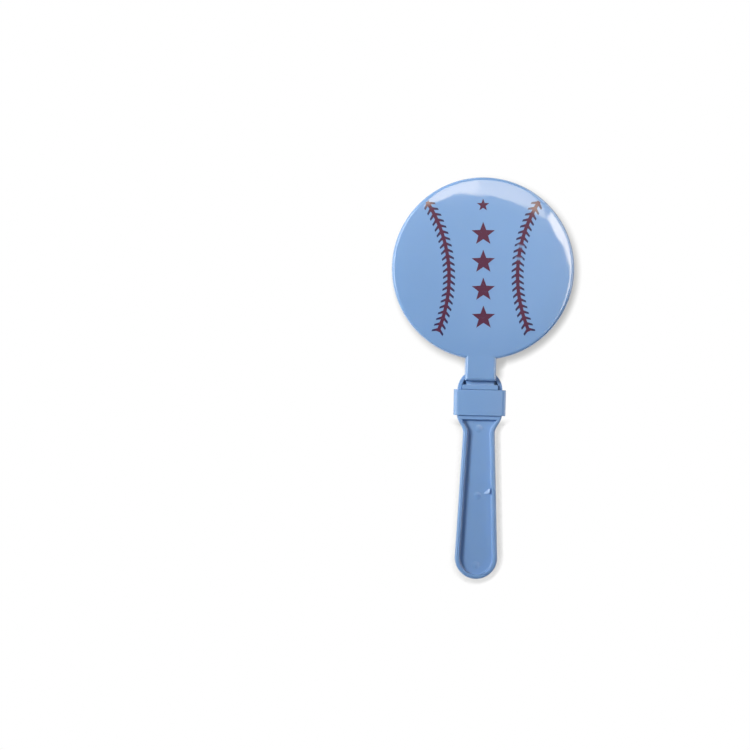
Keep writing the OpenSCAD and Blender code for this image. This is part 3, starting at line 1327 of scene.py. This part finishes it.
    def build_stars(self) -> Piece:
        """Lay a column of stars on the face, with a small one at its top.

        Returns:
            All the stars.
        """
        stars = [self.star(self.star_low + i * self.star_pitch, self.star_d) for i in range(self.star_count)]
        stars.append(self.star(self.small_star_y, self.small_star_d))
        activate(*stars)
        bpy.ops.object.join()
        piece = stars[0]
        for mark in InkMark:
            piece.data.attributes.new(mark.value, "FLOAT", "POINT")
        for vertex in piece.data.vertices:
            vertex.co = self.on_face(vertex.co.x, vertex.co.y)
        self.thicken(piece)
        return piece

    def thicken(self, piece: Piece) -> None:
        """Turn the faces of a print up and give the ink its thickness.

        Args:
            piece: The print, laid on the face.
        """
        face_outwards(piece)
        if piece.data.polygons[0].normal.z < 0:
            piece.data.flip_normals()
        apply(piece, "SOLIDIFY", thickness=2 * self.ink * MM, offset=0.0)
        smooth(piece)

    def dress(self, seams: Piece, stars: Piece, finish: Material) -> None:
        """Give both prints their ink and let them swing with the front paddle.

        Args:
            seams: Both seams.
            stars: The column of stars.
            finish: Their ink.
        """
        for piece, node in ((seams, "seam_print"), (stars, "star_print")):
            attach(piece, self.paddle.body.value)
            dress(piece, finish, node)


# Studio


@dataclass(frozen=True)
class SoftBox:
    """Soft lamp, whose face is so bright next to white paper; it lights things, shines in gloss, or both."""

    name: str
    place: Corner
    size: Point
    brightness: float
    aim: Corner | None = None
    turn: float = 0.0
    colour: str = "#FFFFFF"
    spread: float = 180.0
    lights: bool = True
    shines: bool = True

    def build(self) -> None:
        """Add the lamp and turn it to its aim, or straight down where it has none."""
        deselect()
        bpy.ops.object.light_add(type="AREA", location=self.place)
        lamp = bpy.context.object
        lamp.name = self.name
        lamp.data.shape = "RECTANGLE"
        lamp.data.size, lamp.data.size_y = self.size
        lamp.data.energy = self.brightness * math.pi * self.size[0] * self.size[1]
        lamp.data.color = linear(self.colour)[:3]
        lamp.data.spread = math.radians(self.spread)
        lamp.visible_camera = False
        lamp.visible_diffuse = self.lights
        lamp.visible_glossy = self.shines
        direction = Vector(self.aim) - Vector(self.place) if self.aim else Vector((0, 0, -1))
        turn = Quaternion((0, 0, 1), math.radians(self.turn))
        lamp.rotation_euler = (direction.to_track_quat("-Z", "Y") @ turn).to_euler()


@dataclass
class Studio:
    """Floor, lamps and the camera that looks straight down, as the photograph was taken."""

    frame_px: float = 750.0
    disc_px: Point = (483.3, 268.4)
    mm_per_px: float = 0.695
    distance: float = 2.4
    roll: float = 1.35
    sensor_mm: float = 36.0
    floor_size: float = 8.0
    ambient: float = 0.18
    fill_colour: str = "#90C0FF"
    seen_colour: str = "#FFFFFF"
    key_colour: str = "#FFFCF9"
    box_colour: str = "#FFEBCB"
    box_z: float = 0.95
    narrow: float = 80.0
    key_aim: Corner = (0.8, 0.5, 0.0)
    card_aim: Corner = (0.0, 0.1, 0.0)

    def floor(self) -> None:
        """Add the white paper that the clapper lies on."""
        deselect()
        bpy.ops.mesh.primitive_plane_add(size=self.floor_size, location=(0, 0, 0))
        paper = bpy.context.object
        paper.name = "studio_paper"
        with editing(paper, whole=True):
            bpy.ops.mesh.subdivide(number_cuts=3)
        paper.data.materials.append(WhiteSweep().material())

    def world(self) -> None:
        """Set a plain even fill, seen as white."""
        world = bpy.data.worlds.new("studio_fill")
        bpy.context.scene.world = world
        tree = empty_tree(world)
        camera_ray = add_node(tree, "LightPath").outputs["Is Camera Ray"]
        even = {"Color": linear(self.fill_colour), "Strength": self.ambient}
        fill = add_node(tree, "Background", even)
        seen = add_node(tree, "Background", {"Color": linear(self.seen_colour), "Strength": 1.0})
        mix = add_node(tree, "MixShader", {"Fac": camera_ray, 1: fill, 2: seen})
        add_node(tree, "OutputWorld", {"Surface": mix})

    def lamps(self) -> list[SoftBox]:
        """Soft key at the left, a card for the gloss on each side, and small warm boxes over the dish's edge.

        Returns:
            The lamps.
        """
        key = {"aim": self.key_aim, "colour": self.key_colour, "spread": self.narrow, "shines": False}
        card = {"aim": self.card_aim, "lights": False}
        box = {"colour": self.box_colour, "spread": self.narrow}
        z = self.box_z
        return [
            SoftBox("panel_left", (-0.98, 0.37, 1.08), (0.6, 0.5), 8.8, **key),
            SoftBox("card_left", (-1.1, 0.36, 1.02), (1.3, 1.05), 3.2, **card),
            SoftBox("card_right", (1.2, 0.62, 0.62), (2.0, 0.7), 4.4, **card),
            SoftBox("box_top_left", (-0.067, 0.35, z), (0.157, 0.16), 1.42, **box),
            SoftBox("box_top", (0.09, 0.34, z), (0.19, 0.21), 0.95, turn=-8.8, **box),
            SoftBox("box_upper_right", (0.277, 0.217, z), (0.16, 0.14), 2.1, turn=-48.3, **box),
            SoftBox("box_right", (0.3, -0.029, z), (0.055, 0.40), 1.7, **box),
        ]

    def camera(self, disc: Vector) -> None:
        """Add the camera so that the disc lands on its place in the picture.

        Args:
            disc: Middle of the front face.
        """
        roll = math.radians(self.roll)
        right = Vector((math.cos(roll), math.sin(roll), 0))
        up = Vector((-math.sin(roll), math.cos(roll), 0))
        step = self.mm_per_px * MM
        middle = self.frame_px / 2
        place = disc - right * (self.disc_px[0] - middle) * step - up * (middle - self.disc_px[1]) * step
        place.z += self.distance
        deselect()
        bpy.ops.object.camera_add(location=place, rotation=(0, 0, roll))
        camera = bpy.context.object
        camera.name = "camera_above"
        camera.data.sensor_width = self.sensor_mm
        camera.data.lens = self.sensor_mm * self.distance / (self.frame_px * step)
        bpy.context.scene.camera = camera

    def build(self, disc: Vector) -> None:
        """Set up the camera, the floor and the light, with plain view settings.

        Args:
            disc: Middle of the front face.
        """
        self.camera(disc)
        self.floor()
        self.world()
        for lamp in self.lamps():
            lamp.build()
        bpy.context.scene.view_settings.view_transform = "Standard"


def main() -> None:
    """Set up the studio, then build every sub-assembly in order and dress it."""
    logging.basicConfig(level=logging.INFO, format="%(name)s %(message)s")
    front = OuterPaddle("front_paddle", Body.FRONT)
    rear = OuterPaddle("rear_paddle", Body.REAR)
    centre = CentrePaddle()
    collar = Collar()
    hinges = (
        FilmHinge("front_hinge_film", "front_foot", Body.FRONT, centre),
        FilmHinge("rear_hinge_film", "rear_foot", Body.REAR, centre),
    )
    face = PrintedFace(front)
    Studio().build(Vector((*front.centre, front.face_z)))

    glossy = MouldedPolypropylene("polypropylene_moulded_light_blue")
    calm = replace(glossy, gloss=0.17, gloss_share=0.4, sink_depth_mm=0.05, ripple_depth_mm=0.002)
    plastic = glossy.material()
    satin = replace(calm, name="polypropylene_moulded_satin").material()
    parted = replace(calm, name="polypropylene_moulded_parting_line", parting_z=centre.mid_z).material()
    ink = ScreenInk("screen_ink_dark_red").material()

    for paddle in (front, rear):
        paddle.dress(paddle.build(), plastic)
    centre.dress(centre.build(), parted)
    collar.dress(collar.build(), satin)
    for hinge in hinges:
        hinge.dress(hinge.build_film(), hinge.build_foot(), satin)
    face.dress(face.build_seams(), face.build_stars(), ink)


if __name__ == "__main__":
    main()
